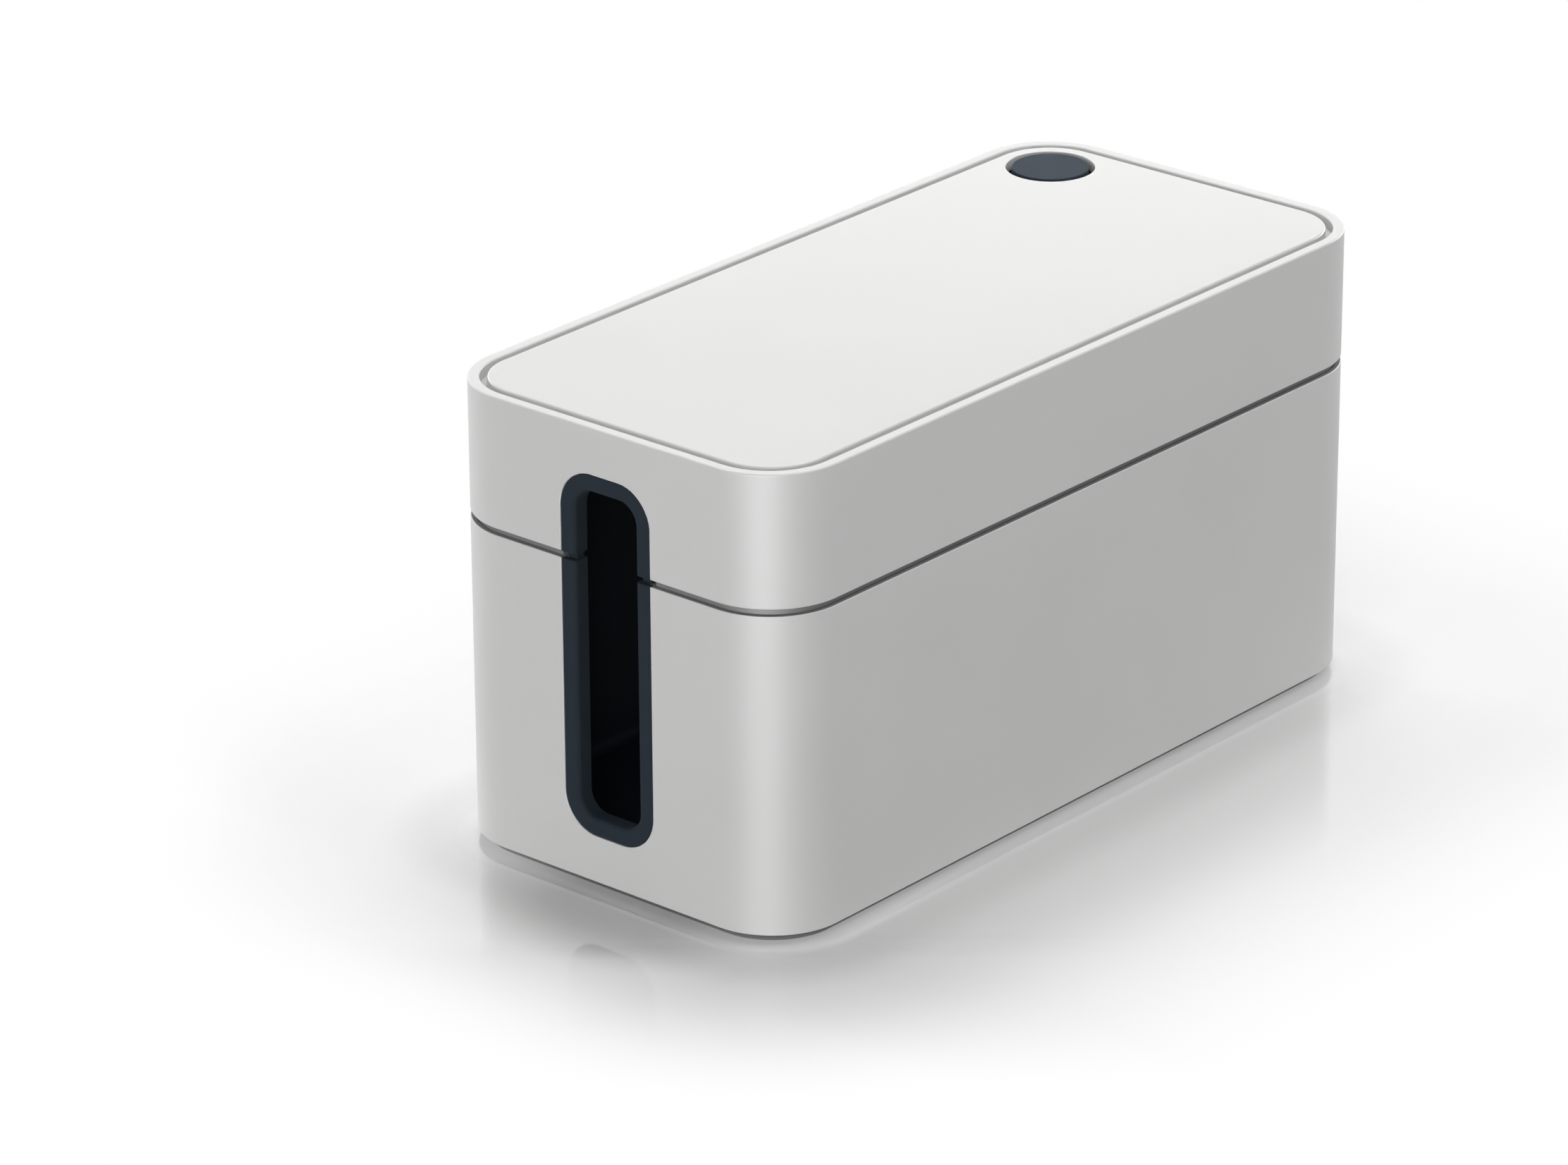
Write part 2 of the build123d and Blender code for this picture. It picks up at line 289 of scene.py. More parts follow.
@dataclass(frozen=True)
class Plastic:
    """A moulded part: the mould's grain, slow flow clouds, polished edges with a painted highlight, and
    painted shade deep in narrow gaps.

    Attributes:
        name: the material's name.
        colour: its colour in linear light.
        roughness: the open faces' roughness.
        grain: the mould's texture.
        specular: strength of the plain reflection, 0.5 for common plastics.
        flow: share by which the clouds move the colour.
        drift: how far the clouds move the roughness.
        cloud_size: the clouds' size.
        cloud_detail: how many finer layers lie on them.
        edge_highlight: factor by which the edges are lighter, a painted highlight.
        edge_polish: how much smoother the edges are.
        edge_reach: how far the edges' painted highlight and smoothness reach.
        gap_shade: factor by which the colour is darker deep in a gap, painted shade.
        gap_shade_reach: how wide such a gap may be.
        gap_shade_range: the shares of open sky from which a point counts as deep and as open.
    """

    name: str
    colour: Colour
    roughness: float
    grain: Grain
    specular: float = 0.5
    flow: float = 0.010
    drift: float = 0.025
    cloud_size: float = 55 * MM
    cloud_detail: float = 3.0
    edge_highlight: float = 1.04
    edge_polish: float = 0.06
    edge_reach: float = 0.6 * MM
    gap_shade: float = 1.0
    gap_shade_reach: float = 4 * MM
    gap_shade_range: tuple[float, float] = (0.30, 0.80)

    def material(self) -> Material:
        """Builds the finish's material.

        Returns:
            The material.
        """
        graph = Graph(bpy.data.materials.new(self.name))
        clouds = graph.noise(self.cloud_size, self.cloud_detail)
        clouds = graph.remap(clouds, *graph.NOISE_SPAN, 0.0, 1.0)
        edge = graph.edges(self.edge_reach)
        body = graph.blend(clouds, shade(self.colour, 1 - self.flow), shade(self.colour, 1 + self.flow))
        # painted highlight: the edges are made lighter
        edge_highlighted = graph.blend(edge, body, shade(self.colour, self.edge_highlight))
        # painted shade: the colour darkens deep in narrow gaps
        gap = graph.gap_shade_mask(self.gap_shade_reach, *self.gap_shade_range)
        rough = graph.remap(clouds, 0.0, 1.0, self.roughness - self.drift, self.roughness + self.drift)
        return graph.surface({
            "Base Color": graph.blend(gap, edge_highlighted, shade(self.colour, self.gap_shade)),
            "Roughness": graph.maths("SUBTRACT", rough, graph.maths("MULTIPLY", edge, self.edge_polish)),
            "Specular IOR Level": self.specular,
            "Normal": graph.grain(self.grain),
        })


@dataclass(frozen=True)
class Rubber:
    """A soft moulded part: matt grain, a faint pale bloom, a soft sheen and edges with a painted highlight.

    Attributes:
        name: the material's name.
        colour: its colour in linear light.
        roughness: the open faces' roughness.
        bloom: the pale film's colour, where it is thickest.
        bloom_share: how much of the bloom shows at most.
        sheen: strength of the soft glow at grazing angles.
        specular: strength of the plain reflection, 0.5 for a hard plastic.
        film_size: the size of the bloom's clouds.
        film_detail: how many finer layers lie on them.
        film_roughness: how strong those layers are.
        film_span: the values of the clouds at which the bloom starts and is full.
        drift: how far the clouds move the roughness.
        edge_reach: how far the edges' wear reaches.
        edge_highlight: factor by which worn edges are lighter.
        sheen_roughness: how wide the soft glow spreads.
    """

    name: str
    colour: Colour
    roughness: float = 0.62
    bloom: Colour = (0.12, 0.13, 0.14)
    bloom_share: float = 0.10
    sheen: float = 0.02
    specular: float = 0.25
    film_size: float = 6 * MM
    film_detail: float = 5.0
    film_roughness: float = 0.65
    film_span: tuple[float, float] = (0.42, 0.75)
    drift: float = 0.06
    # edge_reach: how far the edges' painted highlight reaches.
    edge_reach: float = 0.5 * MM
    # edge_highlight: factor by which the edges are lighter, a painted highlight.
    edge_highlight: float = 1.25
    sheen_roughness: float = 0.4

    def material(self) -> Material:
        """Builds the finish's material.

        Returns:
            The material.
        """
        graph = Graph(bpy.data.materials.new(self.name))
        film = graph.noise(self.film_size, self.film_detail, self.film_roughness)
        share = graph.remap(film, *self.film_span, 0.0, self.bloom_share)
        body = graph.blend(share, self.colour, self.bloom)
        edge = graph.edges(self.edge_reach)
        smoothest, roughest = self.roughness - self.drift, self.roughness + self.drift
        return graph.surface({
            # painted highlight: the edges are made lighter
            "Base Color": graph.blend(edge, body, shade(self.colour, self.edge_highlight)),
            "Roughness": graph.remap(film, *graph.NOISE_SPAN, smoothest, roughest),
            "Specular IOR Level": self.specular,
            "Sheen Weight": self.sheen,
            "Sheen Roughness": self.sheen_roughness,
            "Normal": graph.grain(Grain.RUBBER_MATT),
        })


@dataclass(frozen=True)
class PlatedSteel:
    """Zinc-plated steel: tumbled grain and cloudy passivation.

    Attributes:
        name: the material's name.
        colour: the plating's colour in linear light.
        tarnish: its colour where the passivation is thickest.
        roughness: the bright plating's, and that of the thickest passivation.
        cloud_size: the size of the passivation's clouds.
        cloud_detail: how many finer layers lie on them.
        cloud_span: the values of the clouds at which the passivation starts and is thickest.
    """

    name: str
    colour: Colour = (0.62, 0.62, 0.63)
    tarnish: Colour = (0.44, 0.45, 0.47)
    roughness: tuple[float, float] = (0.26, 0.42)
    cloud_size: float = 1.8 * MM
    cloud_detail: float = 4.0
    cloud_span: tuple[float, float] = (0.35, 0.65)

    def material(self) -> Material:
        """Builds the finish's material.

        Returns:
            The material.
        """
        graph = Graph(bpy.data.materials.new(self.name))
        clouds = graph.noise(self.cloud_size, self.cloud_detail)
        clouds = graph.remap(clouds, *self.cloud_span, 0.0, 1.0)
        return graph.surface({
            "Base Color": graph.blend(clouds, self.colour, self.tarnish),
            "Metallic": 1.0,
            "Roughness": graph.remap(clouds, 0.0, 1.0, *self.roughness),
            "Normal": graph.grain(Grain.TUMBLED),
        })


@dataclass(frozen=True)
class GlueFilm:
    """A die-cut double-sided adhesive film with small trapped bubbles.

    Attributes:
        name: the material's name.
        colour: the film's colour in linear light.
        bubble: its colour over a bubble.
        roughness: the film's, and that over a bubble.
        coat: strength of the clear gloss on the film.
        bubble_spacing: the distance from one bubble to the next.
        bubble_rim: a bubble's full and outer radius, as shares of that distance.
    """

    name: str
    colour: Colour = (0.55, 0.53, 0.47)
    bubble: Colour = (0.72, 0.71, 0.68)
    roughness: tuple[float, float] = (0.28, 0.5)
    coat: float = 0.3
    bubble_spacing: float = 3 * MM
    bubble_rim: tuple[float, float] = (0.10, 0.16)

    def material(self) -> Material:
        """Builds the finish's material.

        Returns:
            The material.
        """
        graph = Graph(bpy.data.materials.new(self.name))
        cells = graph.add("TexVoronoi", {"Vector": graph.position(), "Scale": 1 / self.bubble_spacing})
        bubbles = graph.remap(cells.outputs["Distance"], *self.bubble_rim, 1.0, 0.0)
        return graph.surface({
            "Base Color": graph.blend(bubbles, self.colour, self.bubble),
            "Roughness": graph.remap(bubbles, 0.0, 1.0, *self.roughness),
            "Coat Weight": self.coat,
        })


# painted shade: the casing is darker deep in narrow gaps such as the trench round the pad
CASING = Plastic("casing_plastic", (0.800, 0.800, 0.795), 0.55, Grain.SPARK_FINE, gap_shade=0.85)
# painted shade: the seam's recess is much darker deep in the gap under the lid
RECESS_SHADE = Plastic(
    "casing_recess_painted_shade", (0.800, 0.800, 0.795), 0.60, Grain.SPARK_FINE,
    gap_shade=0.26, gap_shade_reach=3 * MM, gap_shade_range=(0.75, 0.99))
# painted shade: the inner faces are charcoal so that the inside looks dark
INNER_SHADE = Plastic(
    "casing_inner_painted_shade", (0.022, 0.029, 0.043), 0.65, Grain.SPARK_COARSE, specular=0.06, edge_highlight=1.2)
PAD = Plastic("pad_soft_touch", (0.735, 0.735, 0.725), 0.30, Grain.SOFT_TOUCH)
# painted light: a paler copy of the pad's finish, for the lit outlet wall
LIT_COLLAR = Plastic("pad_collar_painted_light", (0.920, 0.920, 0.915), 0.55, Grain.SOFT_TOUCH)
BRIDGE = Plastic("bridge_plastic", (0.020, 0.022, 0.026), 0.50, Grain.SPARK_COARSE, edge_highlight=1.3)
GLUE = GlueFilm("pad_glue_film")
SLOT_RUBBER = Rubber("slot_rubber", (0.026, 0.038, 0.052), roughness=0.85, bloom_share=0.04, specular=0.04)
CAP_RUBBER = Rubber("cap_rubber", (0.036, 0.049, 0.066), roughness=0.70, bloom_share=0.05, specular=0.08)
FOOT_RUBBER = Rubber("foot_rubber", (0.018, 0.018, 0.020))
SCREW_ZINC = PlatedSteel("screw_zinc")


# ------------ shapes


def dress(node: str, *materials: Material) -> Piece:
    """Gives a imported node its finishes, the first one on every face.

    Args:
        node: the node's name.
        *materials: the finishes, in the order of the slots.

    Returns:
        The node's object.
    """
    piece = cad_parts[node]
    piece.data.materials.clear()
    for material in materials:
        piece.data.materials.append(material)
    for face in piece.data.polygons:
        face.material_index = 0
    return piece


def paint(piece: Piece, finish: Material, picks: Callable[[Vector], bool]) -> None:
    """Moves some faces of a piece to another of its finishes.

    Args:
        piece: the piece.
        finish: the finish that they move to.
        picks: tells from a face's centre whether it is one of them.
    """
    slot = piece.data.materials.find(finish.name)
    for face in piece.data.polygons:
        if picks(face.center):
            face.material_index = slot


def inset(point: Vector) -> float:
    """How far a point lies inside the casing's outer face, in plan.

    Args:
        point: the point.

    Returns:
        The depth, which is 0 on the outer face.
    """
    beyond = [max(abs(place) - (half - CORNER_RADIUS), 0.0) for place, half in zip(point.xy, cad_box[1])]
    return CORNER_RADIUS - math.hypot(*beyond)


def put(name: str, data: bpy.types.ID) -> Piece:
    """Puts a new object into the scene.

    Args:
        name: the object's name.
        data: its mesh, lamp or camera.

    Returns:
        The object.
    """
    piece = bpy.data.objects.new(name, data)
    bpy.context.scene.collection.objects.link(piece)
    return piece


def make_piece(name: str, mesh: Mesh, material: Material) -> Piece:
    """Turns a bmesh into a piece with smooth faces and sharp creases.

    Args:
        name: the piece's name.
        mesh: its mesh, which is freed.
        material: its finish.

    Returns:
        The new object.
    """
    bmesh.ops.recalc_face_normals(mesh, faces=mesh.faces)
    for face in mesh.faces:
        face.smooth = True
    for edge in mesh.edges:
        edge.smooth = len(edge.link_faces) != 2 or edge.calc_face_angle() < CREASE_ANGLE
    data = bpy.data.meshes.new(name)
    mesh.to_mesh(data)
    mesh.free()
    data.materials.append(material)
    return put(name, data)


def join_rings(mesh: Mesh, rings: list[list[bmesh.types.BMVert]], steps: int) -> None:
    """Spans faces from each ring of points to the next.

    Args:
        mesh: the mesh to add to.
        rings: the rings in order, each of as many points as there are steps, or of a single one.
        steps: how many faces go round.
    """
    for inner, outer in zip(rings, rings[1:]):
        for step in range(steps):
            corners = [
                inner[step % len(inner)], inner[(step + 1) % len(inner)],
                outer[(step + 1) % len(outer)], outer[step % len(outer)],
            ]
            mesh.faces.new(list(dict.fromkeys(corners)))


def turn_profile(mesh: Mesh, profile: Profile, centre: Point, steps: int) -> None:
    """Adds a turned form to a mesh: a profile swung round an upright axis.

    Args:
        mesh: the mesh to add to.
        profile: radius and height pairs; the first and last radius may be 0.
        centre: the axis's place, and the height that the profile's heights start from.
        steps: how many faces go round.
    """
    middle = Vector(centre)
    angles = [2 * math.pi * step / steps for step in range(steps)]
    rings = []
    for radius, height in profile:
        if radius == 0:
            rings.append([mesh.verts.new(middle + Vector((0, 0, height)))])
            continue
        rings.append([
            mesh.verts.new(middle + Vector((radius * math.cos(a), radius * math.sin(a), height)))
            for a in angles
        ])
    join_rings(mesh, rings, steps)


def arc(centre: tuple[float, float], radius: float, start: float, stop: float, steps: int) -> Profile:
    """Points along an arc of a profile.

    Args:
        centre: the arc's centre, as radius and height.
        radius: the arc's radius.
        start: the angle of the first point in degrees, 0 pointing outwards and 90 up.
        stop: the angle of the last point.
        steps: how many straight pieces the arc has.

    Returns:
        The points, both ends among them.
    """
    angles = [math.radians(start + (stop - start) * step / steps) for step in range(steps + 1)]
    return [(centre[0] + radius * math.cos(a), centre[1] + radius * math.sin(a)) for a in angles]


# ------------ sub-assemblies


@dataclass
class Casing:
    """The base tray and the lid shell: pale outside with painted shade deep in narrow gaps and much deeper
    painted shade in the seam's recess, and charcoal on their inner faces as painted shade for the dark
    inside.

    Attributes:
        wall: thickness of the side walls.
        floor_thickness: thickness of the tray's floor.
        deck_thickness: thickness of the deck under the pad.
        ledge: height of the tray's ledge above the surface that the box stands on.
        seam_inset: how far inside the outer face the recess of the seam starts.
        groove_depth: depth of the groove at the tongue's foot.
    """

    wall: float = 3.1 * MM
    floor_thickness: float = 2.6 * MM
    deck_thickness: float = 2.2 * MM
    ledge: float = 90.1 * MM
    seam_inset: float = 0.35 * MM
    groove_depth: float = 0.6 * MM

    def build(self, outside: Material, inner_shade: Material, recess: Material) -> list[Piece]:
        """Dresses both shells.

        Args:
            outside: the finish of what is seen from outside.
            inner_shade: the charcoal finish of the inner faces, painted shade for the dark inside.
            recess: the finish of the seam's recess, which paints much deeper shade there.

        Returns:
            The two shells.
        """
        tray_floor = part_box("base_tray")[0].z + self.floor_thickness - PICK_MARGIN
        deck_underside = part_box("pad_adhesive")[0].z - self.deck_thickness + PICK_MARGIN
        inner = self.wall - PICK_MARGIN
        tray = dress("base_tray", outside, inner_shade, recess)
        recess_bottom = self.ledge - self.groove_depth - PICK_MARGIN
        # painted shade: the seam's recess takes the darker finish
        paint(tray, recess, lambda at: at.z > recess_bottom and inset(at) > self.seam_inset)
        # painted shade: the inner faces take the charcoal finish
        paint(tray, inner_shade, lambda at: at.z > tray_floor and inset(at) > inner)
        lid = dress("lid_shell", outside, inner_shade)
        paint(lid, inner_shade, lambda at: at.z < deck_underside and inset(at) > inner)
        return [tray, lid]


@dataclass
class ChargingPad:
    """The flush pad on which a telephone lies, and the film that holds it.

    Attributes:
        outlet_radius: the radius of the outlet's wall.
        edge: the height of the wall's rounded mouth.
    """

    outlet_radius: float = 12.3 * MM
    edge: float = 0.3 * MM

    def build(self, top: Material, lit_collar: Material, film: Material) -> list[Piece]:
        """Dresses the pad, the wall of its outlet and its film.

        Args:
            top: the pad's finish.
            lit_collar: the outlet wall's finish, a paler copy of the pad's as painted light.
            film: the adhesive film's finish.

        Returns:
            The pad and the film.
        """
        pad = dress("lid_pad", top, lit_collar)
        low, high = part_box("outlet_cap")
        axis = ((low + high) / 2).to_2d()
        reach = self.outlet_radius + PICK_MARGIN
        mouth = high.z - self.edge
        # painted light: the outlet's wall takes the paler finish
        paint(pad, lit_collar, lambda at: at.z < mouth and (at.to_2d() - axis).length < reach)
        return [pad, dress("pad_adhesive", film)]


@dataclass
class SlotSurrounds:
    """The rubber that lines both end slots, split at the seam between tray and lid.

    Attributes:
        ends: the names of the box's ends.
        halves: the names of the rubber's halves, from the tray up.
    """

    ends: tuple[str, ...] = ("left", "right")
    halves: tuple[str, ...] = ("base", "lid")

    def build(self, rubber: Material) -> list[Piece]:
        """Dresses the four rubber pieces.

        Args:
            rubber: their finish.

        Returns:
            The pieces.
        """
        return [dress(f"{end}_{half}_grommet", rubber) for end in self.ends for half in self.halves]


@dataclass
class CableOutlet:
    """The round outlet: its cap, the bridge that carries the cap, and the bridge's screws.

    Attributes:
        screw_circle: the radius on which the screws stand round the outlet's axis.
        screw_angles: their directions in degrees.
        shank_radius: radius over the thread's crests.
        core_radius: radius at the thread's roots.
        pitch: the thread's rise in one turn.
        head_radius: the pan head's radius.
        head_height: its height.
        head_edge: the rounding of the head's edge.
        head_sweep: the angle in degrees at which that rounding ends, 0 pointing outwards.
        head_dome: how far the head's face rises from the rounding to its middle.
        head_flat: the radius of the face's flat middle, as a share of the head's.
        flat_drop: how far that middle's rim lies below its centre.
        head_sides: how many faces go round the head.
        recess_length: length of the cross recess's arms, from tip to tip.
        recess_width: width of the arms.
        recess_depth: depth of the cross recess.
        recess_taper: the arms' size at its bottom, as a share of that at its mouth.
        point_length: length of the shank's tapered end.
        crest_slope: the width of each of a crest's flanks, as a share of the pitch.
        shank_sides: how many faces go round the shank.
        shank_layers: how many rings of faces the shank has.
    """

    screw_circle: float = 20.2 * MM
    screw_angles: tuple[float, ...] = (165.0, 225.0, 285.0)
    shank_radius: float = 1.25 * MM
    core_radius: float = 0.90 * MM
    pitch: float = 0.95 * MM
    head_radius: float = 2.6 * MM
    head_height: float = 1.6 * MM
    head_edge: float = 0.9 * MM
    head_sweep: float = -75.0
    head_dome: float = 0.25 * MM
    head_flat: float = 0.35
    flat_drop: float = 0.03 * MM
    head_sides: int = 40
    recess_length: float = 2.8 * MM
    recess_width: float = 0.62 * MM
    recess_depth: float = 1.0 * MM
    recess_taper: float = 0.55
    point_length: float = 1.2 * MM
    crest_slope: float = 0.22
    shank_sides: int = 28
    shank_layers: int = 84

    def head(self, mesh: Mesh, at: Point) -> None:
        """Adds a pan head with its underside up, at the height where the shank starts.

        Args:
            mesh: the mesh to add to.
            at: the middle of the head's bearing face.
        """
        crown = self.head_height - self.head_dome
        rounding = (self.head_radius - self.head_edge, self.head_edge - crown)
        rim = (self.head_radius * self.head_flat, self.flat_drop - self.head_height)
        profile = [(self.core_radius, 0.0), (self.head_radius, 0.0)]
        profile += arc(rounding, self.head_edge, 0, self.head_sweep, ROUNDING_STEPS)
        profile += [rim, (0.0, -self.head_height)]
        turn_profile(mesh, profile, at, self.head_sides)

    def shank(self, mesh: Mesh, at: Point, length: float) -> None:
        """Adds a threaded shank, tapered at its tip.

        Args:
            mesh: the mesh to add to.
            at: the middle of the head's bearing face, where the shank starts.
            length: the shank's length.
        """
        start = Vector(at)
        rings = []
        for layer in range(self.shank_layers):
            height = length * layer / self.shank_layers
            taper = min(1.0, (length - height) / self.point_length) ** 0.5
            ring = []
            for step in range(self.shank_sides):
                share = step / self.shank_sides
                phase = (height / self.pitch - share) % 1.0
                crest = max(0.0, 1.0 - abs(phase - 0.5) / self.crest_slope)
                radius = (self.core_radius + (self.shank_radius - self.core_radius) * crest) * taper
                angle = 2 * math.pi * share
                point = Vector((radius * math.cos(angle), radius * math.sin(angle), height))
                ring.append(mesh.verts.new(start + point))
            rings.append(ring)
        rings.append([mesh.verts.new(start + Vector((0, 0, length)))])
        join_rings(mesh, rings, self.shank_sides)
        mesh.faces.new(list(reversed(rings[0])))

    def recess(self, piece: Piece, at: Point) -> None:
        """Cuts the cross recess into a screw's head.

        Args:
            piece: the screw.
            at: the middle of the head's bearing face.
        """
        cutter = bmesh.new()
        for turn in (0.0, math.pi / 2):
            block = bmesh.ops.create_cube(cutter, size=1.0)["verts"]
            for vert in block:
                deep = vert.co.z > 0
                narrow = self.recess_taper if deep else 1.0
                vert.co.x *= self.recess_length * narrow
                vert.co.y *= self.recess_width * narrow
                vert.co.z = self.recess_depth if deep else -self.recess_depth
            bmesh.ops.rotate(cutter, verts=block, matrix=Matrix.Rotation(turn, 3, "Z"))
        place = Vector(at) - Vector((0, 0, self.head_height))
        bmesh.ops.translate(cutter, verts=cutter.verts, vec=place)
        tool = make_piece("recess_tool", cutter, piece.data.materials[0])
        cut = piece.modifiers.new("cross_recess", "BOOLEAN")
        cut.operation, cut.solver, cut.object = "DIFFERENCE", "EXACT", tool
        cut.use_self = True
        bpy.context.view_layer.update()
        graph = bpy.context.evaluated_depsgraph_get()
        finished = bpy.data.meshes.new_from_object(piece.evaluated_get(graph))
        piece.modifiers.clear()
        piece.data = finished
        bpy.data.objects.remove(tool)

    def build(self, cap: Material, bridge: Material, zinc: Material) -> list[Piece]:
        """Dresses the cap and the bridge and makes the screws.

        Args:
            cap: the cap's finish.
            bridge: the bridge's finish.
            zinc: the screws' finish.

        Returns:
            The cap, the bridge and the screws.
        """
        pieces = [dress("outlet_cap", cap), dress("outlet_bridge", bridge)]
        low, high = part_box("outlet_cap")
        axis = (low + high) / 2
        low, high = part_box("bridge_screws")
        for number, degrees in enumerate(self.screw_angles, start=1):
            angle = math.radians(degrees)
            at = (
                axis.x + self.screw_circle * math.cos(angle),
                axis.y + self.screw_circle * math.sin(angle),
                low.z + self.head_height,
            )
            mesh = bmesh.new()
            self.head(mesh, at)
            self.shank(mesh, at, high.z - at[2])
            screw = make_piece(f"bridge_screw_{number}", mesh, zinc)
            self.recess(screw, at)
            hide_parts("bridge_screws")
            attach(screw, "lid")
            pieces.append(screw)
        return pieces


@dataclass
class RubberFeet:
    """Four round feet with a dished sole and two grip grooves.

    Attributes:
        corners: the feet's names.
        dish_radius: radius of the dish in the sole.
        dish_depth: its depth.
        edge: the rounding of the sole's outer edge.
        groove_radii: the grip grooves' radii.
        groove_depth: their depth.
        lip: the rounding of the dish's rim, and the bevel of the top's edge.
        lip_out: how far outside the dish that rounding's centre lies, as a share of the lip.
        lip_start: the angle in degrees at which the rounding leaves the dish.
        lip_steps: how many straight pieces it has.
        dish_rings: where the dish's faces are divided, as shares of its radius.
        sides: how many faces go round a foot.
    """

    corners: tuple[str, ...] = ("front_left", "front_right", "rear_left", "rear_right")
    dish_radius: float = 5.5 * MM
    dish_depth: float = 0.4 * MM
    edge: float = 0.7 * MM
    groove_radii: tuple[float, ...] = (6.5 * MM, 7.5 * MM)
    groove_depth: float = 0.18 * MM
    lip: float = 0.25 * MM
    lip_out: float = 0.2
    lip_start: float = 150.0
    lip_steps: int = 5
    dish_rings: tuple[float, ...] = (0.4, 0.8)
    sides: int = 72

    def sole(self, radius: float, height: float) -> Profile:
        """The foot's profile, from the middle of its sole to the middle of its top.

        Args:
            radius: the foot's radius.
            height: the foot's height.

        Returns:
            Radius and height pairs.
        """
        rim = (self.dish_radius + self.lip * self.lip_out, self.lip)
        profile: Profile = [(0.0, self.dish_depth)]
        profile += [(self.dish_radius * share, self.dish_depth) for share in self.dish_rings]
        profile += arc(rim, self.lip, self.lip_start, 270, self.lip_steps)
        for groove in self.groove_radii:
            profile += arc((groove, 0.0), self.groove_depth, 180, 0, ROUNDING_STEPS)
        profile += arc((radius - self.edge, self.edge), self.edge, 270, 360, ROUNDING_STEPS)
        profile += [(radius, height - self.lip), (radius - self.lip, height), (0.0, height)]
        return profile

    def build(self, rubber: Material) -> list[Piece]:
        """Makes the four feet.

        Args:
            rubber: their finish.

        Returns:
            The feet.
        """
        feet = []
        for corner in self.corners:
            node = f"foot_{corner}"
            low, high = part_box(node)
            middle = ((low.x + high.x) / 2, (low.y + high.y) / 2, low.z)
            mesh = bmesh.new()
            turn_profile(mesh, self.sole((high.x - low.x) / 2, high.z - low.z), middle, self.sides)
            foot = make_piece(f"rubber_foot_{corner}", mesh, rubber)
            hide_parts(node)
            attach(foot, "base")
            feet.append(foot)
        return feet


# ------------ studio


def heading(azimuth: float, elevation: float) -> Vector:
    """The direction from the box to something in the studio.

    Args:
        azimuth: its direction in degrees, from +X towards +Y.
        elevation: its height above the horizon, in degrees.

    Returns:
        The direction, as a vector of length 1.
    """
    turn, rise = math.radians(azimuth), math.radians(elevation)
    return Vector((math.cos(turn) * math.cos(rise), math.sin(turn) * math.cos(rise), math.sin(rise)))


@dataclass(frozen=True)
class SoftPanel:
    """A soft rectangular lamp that faces the box.

    Attributes:
        name: the lamp's name.
        azimuth: its direction from the box, in degrees from +X towards +Y.
        elevation: its height above the horizon, in degrees.
        power: its power in watts.
        width: its width.
        height: its height.
        gloss_only: whether it shows in the gloss of a surface alone.
        distance: how far it stands from the box.
    """

    name: str
    azimuth: float
    elevation: float
    power: float
    width: float = 0.8
    height: float = 0.8
    gloss_only: bool = False
    distance: float = 1.6

    def place(self, target: Vector, spared: bpy.types.Collection) -> None:
        """Puts the lamp in the scene.

        Args:
            target: the point that it faces.
            spared: what a lamp that shows in gloss alone leaves out.
        """
        lamp = bpy.data.lights.new(self.name, "AREA")
        lamp.shape = "RECTANGLE"
        lamp.size, lamp.size_y, lamp.energy = self.width, self.height, self.power
        away = heading(self.azimuth, self.elevation)
        piece = put(self.name, lamp)
        piece.location = target + away * self.distance
        piece.rotation_euler = away.to_track_quat("Z", "Y").to_euler()
        piece.visible_camera, piece.visible_diffuse = False, not self.gloss_only
        if self.gloss_only:
            piece.light_linking.receiver_collection = spared


